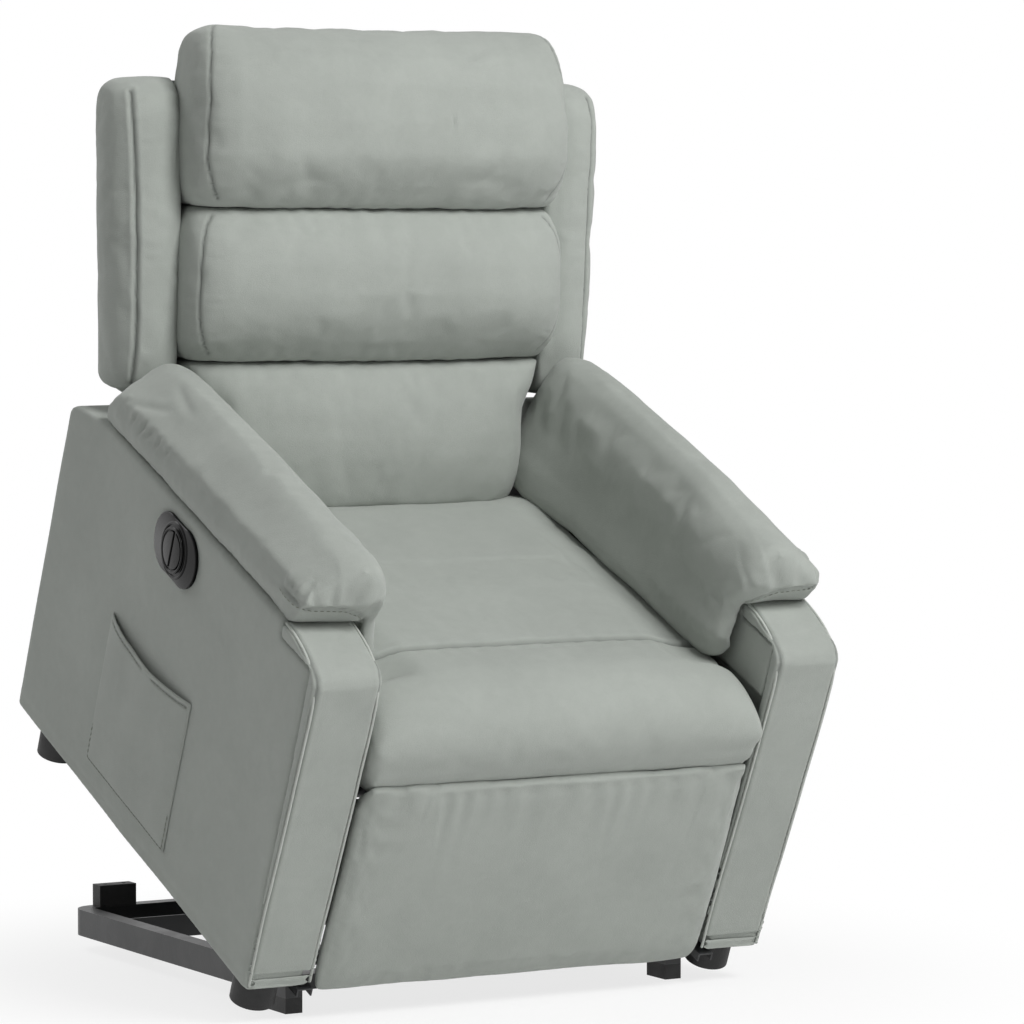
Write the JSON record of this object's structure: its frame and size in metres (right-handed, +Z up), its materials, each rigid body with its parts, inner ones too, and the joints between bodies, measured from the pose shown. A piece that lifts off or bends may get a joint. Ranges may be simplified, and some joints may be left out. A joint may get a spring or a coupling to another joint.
{
  "type": "lift recliner chair",
  "caption": "Upholstered powered lift recliner on a steel base: seat lifts and tilts forward, back reclines, footrest folds out, oval push-button control on the sitter's right.",
  "frame": {"origin": "on the floor, under the middle of the raised chair's outline", "axes": "+Z up, +X towards the sitter's left, -Y towards the front of the chair"},
  "size_m": [0.7974, 0.9206, 1.2808],
  "materials": {
    "upholstery": "soft sage microfibre",
    "black_steel": "satin black powder coat",
    "zinc_steel": "zinc plated",
    "black_feet": "matt black moulded",
    "motor_plastic": "fine-grained black",
    "control_gloss": "glossy black",
    "timber": "raw plywood and softwood"
  },
  "bodies": {
    "base": {"base_frame": "black_steel", "base_cross_bars": "black_steel", "base_plates": "black_steel", "base_feet": "black_feet", "rest_blocks": "black_feet", "link_brackets": "black_steel", "base_pins": "zinc_steel"},
    "rear_links": {"rear_lift_links": "black_steel", "rear_link_tube": "black_steel"},
    "front_links": {"front_lift_links": "black_steel", "front_link_tube": "black_steel"},
    "lift_motor": {"lift_motor": "motor_plastic"},
    "lift_rod": {"lift_rod": "zinc_steel"},
    "seat": {"seat_rails": "black_steel", "seat_link_brackets": "black_steel", "seat_tubes": "black_steel", "seat_pins": "zinc_steel", "deck_cross_rails": "timber", "deck_side_rails": "timber", "seat_springs": "zinc_steel", "seat_cushion": "upholstery", "right_side_panel": "upholstery", "left_side_panel": "upholstery", "right_arm_front": "upholstery", "left_arm_front": "upholstery", "right_arm_pad": "upholstery", "left_arm_pad": "upholstery", "panel_feet": "black_feet", "panel_channels": "black_steel", "side_pocket": "upholstery", "control_bezel": "control_gloss", "control_box": "motor_plastic", "power_inlet": "motor_plastic"},
    "backrest": {"back_uprights": "black_steel", "back_cross_bars": "black_steel", "back_levers": "black_steel", "motor_lever": "black_steel", "back_cover": "upholstery", "headrest_cushion": "upholstery", "lumbar_cushion": "upholstery", "lower_back_cushion": "upholstery", "right_bolster": "upholstery", "left_bolster": "upholstery"},
    "footrest": {"footrest_pad": "upholstery", "footrest_board": "timber", "footrest_arms": "black_steel"},
    "drive_links": {"drive_links": "black_steel"},
    "recline_motor": {"recline_motor": "motor_plastic"},
    "recline_rod": {"recline_rod": "zinc_steel"},
    "back_skirt": {"back_skirt": "upholstery"},
    "button_up": {"button_up": "control_gloss"},
    "button_down": {"button_down": "control_gloss"}
  },
  "joints": [
    {"name": "lift", "type": "hinge", "parent": "base", "child": "rear_links", "pos_m": [0, -0.05964, 0.074], "axis": [-1, 0, 0], "range_deg": [0, 35.33]},
    {"name": "seat_tilt", "type": "hinge", "parent": "rear_links", "child": "seat", "pos_m": [0, 0.23928, 0.35457], "axis": [-1, 0, 0], "range_deg": [-12.07, 0]},
    {"name": "front_links_turn", "type": "hinge", "parent": "base", "child": "front_links", "pos_m": [0, -0.15402, 0.074], "axis": [-1, 0, 0], "range_deg": [0, 46.01]},
    {"name": "lift_motor_tilt", "type": "hinge", "parent": "base", "child": "lift_motor", "pos_m": [0, 0.04648, 0.0604], "axis": [-1, 0, 0], "range_deg": [0, 23.27]},
    {"name": "lift_rod_slide", "type": "slide", "parent": "lift_motor", "child": "lift_rod", "axis": [0, -0.463, 0.8864], "range_m": [-0.12585, 0]},
    {"name": "recline", "type": "hinge", "parent": "seat", "child": "backrest", "pos_m": [0, 0.25602, 0.69225], "axis": [-1, 0, 0], "range_deg": [0, 39]},
    {"name": "footrest_fold", "type": "hinge", "parent": "seat", "child": "footrest", "pos_m": [0, -0.35243, 0.38625], "axis": [-1, 0, 0], "range_deg": [0, 81.6]},
    {"name": "drive_link_turn", "type": "hinge", "parent": "backrest", "child": "drive_links", "pos_m": [0, 0.26066, 0.61639], "axis": [-1, 0, 0], "range_deg": [-40.06, 0]},
    {"name": "recline_motor_tilt", "type": "hinge", "parent": "seat", "child": "recline_motor", "pos_m": [0, 0.00403, 0.39404], "axis": [-1, 0, 0], "range_deg": [-3.11, 0]},
    {"name": "recline_rod_slide", "type": "slide", "parent": "recline_motor", "child": "recline_rod", "axis": [0, 0.7543, 0.6566], "range_m": [-0.0359, 0]},
    {"name": "skirt_hang", "type": "hinge", "parent": "backrest", "child": "back_skirt", "pos_m": [0, 0.24792, 0.7836], "axis": [-1, 0, 0], "range_deg": [-39.78, 0]},
    {"name": "button_up_press", "type": "slide", "parent": "seat", "child": "button_up", "axis": [1, 0, 0], "range_m": [0, 0.002], "stiffness_N_per_m": 400},
    {"name": "button_down_press", "type": "slide", "parent": "seat", "child": "button_down", "axis": [1, 0, 0], "range_m": [0, 0.002], "stiffness_N_per_m": 400}
  ],
  "couplings": [
    {"joint": "seat_tilt", "follows": "lift", "ratio": -0.33493},
    {"joint": "front_links_turn", "follows": "lift", "ratio": 1.2765},
    {"joint": "lift_motor_tilt", "follows": "lift", "ratio": 0.64553},
    {"joint": "lift_rod_slide", "follows": "lift", "m_per_rad": -0.20006},
    {"joint": "footrest_fold", "follows": "recline", "ratio": 2.0513},
    {"joint": "drive_link_turn", "follows": "recline", "ratio": -1.0071},
    {"joint": "recline_motor_tilt", "follows": "recline", "ratio": -0.078079},
    {"joint": "recline_rod_slide", "follows": "recline", "m_per_rad": -0.051705},
    {"joint": "skirt_hang", "follows": "recline", "ratio": -1}
  ]
}
